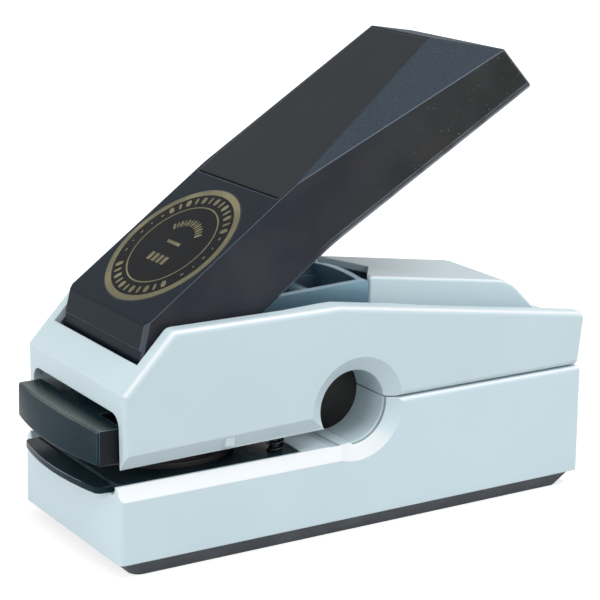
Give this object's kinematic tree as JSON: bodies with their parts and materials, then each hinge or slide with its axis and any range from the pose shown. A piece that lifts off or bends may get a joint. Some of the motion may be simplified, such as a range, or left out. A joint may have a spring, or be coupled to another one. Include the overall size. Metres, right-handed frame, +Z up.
{
  "type": "seal embosser",
  "caption": "Desk seal embosser: faceted lever on a light blue casing presses a cam and ram onto a slide-out die cartridge at the front; round paper throat behind it.",
  "frame": {"origin": "floor, under the middle of the bounding box", "axes": "+X from the die cartridge back to the lever's tail, +Y to the side, +Z up"},
  "size_m": [0.157, 0.057, 0.1321],
  "materials": {
    "casing_blue": "fine satin moulded texture",
    "lever_charcoal": "fine texture on the facets, gloss on the front",
    "label_panel": null,
    "grip_matt": "matt inlay",
    "tab_black": "gloss",
    "foot_rubber": "matte",
    "frame_steel": "bright plated, slightly blue",
    "pin_steel": "ground",
    "spring_steel": "drawn wire",
    "screw_steel": "plated",
    "liner_black": "matte",
    "plate_grey": "matte",
    "die_brass": "machined",
    "die_resin": "moulded"
  },
  "bodies": {
    "press_body": {"rubber_foot": "foot_rubber", "bottom_plate": "plate_grey", "base_shell": "casing_blue", "upper_shell": "casing_blue", "rear_cover": "casing_blue", "throat_liner": "liner_black", "throat_collar_left": "casing_blue", "throat_collar_right": "casing_blue", "frame_cheek_left": "frame_steel", "frame_cheek_right": "frame_steel", "frame_strap": "frame_steel", "anvil_plate": "frame_steel", "tie_pins": "pin_steel", "ram_bridge": "frame_steel", "bridge_rivets": "pin_steel", "pivot_pin": "pin_steel", "pivot_clips": "spring_steel", "casing_screws": "screw_steel", "plate_screws": "screw_steel", "tail_bumpers": "foot_rubber", "well_tray": "casing_blue"},
    "lever": {"lever_housing": "lever_charcoal", "label_plate": "label_panel", "grip_panel": "grip_matt", "lever_channel": "frame_steel", "press_cam": "pin_steel", "cam_rivets": "pin_steel", "lever_screws": "screw_steel"},
    "ram": {"ram": "pin_steel", "guide_post_left": "pin_steel", "guide_post_right": "pin_steel", "post_clips": "spring_steel", "return_spring_left": "spring_steel", "return_spring_right": "spring_steel"},
    "cartridge": {"lower_holder": "tab_black", "lower_die": "die_resin", "cartridge_pins": "pin_steel"},
    "upper_jaw": {"upper_holder": "tab_black", "upper_die": "die_brass", "cartridge_springs": "spring_steel"}
  },
  "joints": [
    {"name": "lever_hinge", "type": "hinge", "parent": "press_body", "child": "lever", "pos_m": [-0.05275, 0, 0.0524], "axis": [0, 1, 0], "range_deg": [0, 31], "stiffness_Nm_per_rad": 0.5, "springref_deg": -20.05},
    {"name": "ram_slide", "type": "slide", "parent": "press_body", "child": "ram", "axis": [0, 0, -1], "range_m": [0, 0.00426], "deforming": ["return_spring_left", "return_spring_right"]},
    {"name": "cartridge_slide", "type": "slide", "parent": "press_body", "child": "cartridge", "axis": [-1, 0, 0], "range_m": [0, 0.062]},
    {"name": "upper_jaw_slide", "type": "slide", "parent": "cartridge", "child": "upper_jaw", "axis": [0, 0, -1], "range_m": [0, 0.00426], "deforming": ["cartridge_springs"]}
  ],
  "couplings": [
    {"joint": "ram_slide", "follows": "lever_hinge", "m_per_rad": 0.00785},
    {"joint": "upper_jaw_slide", "follows": "lever_hinge", "m_per_rad": 0.00785}
  ]
}
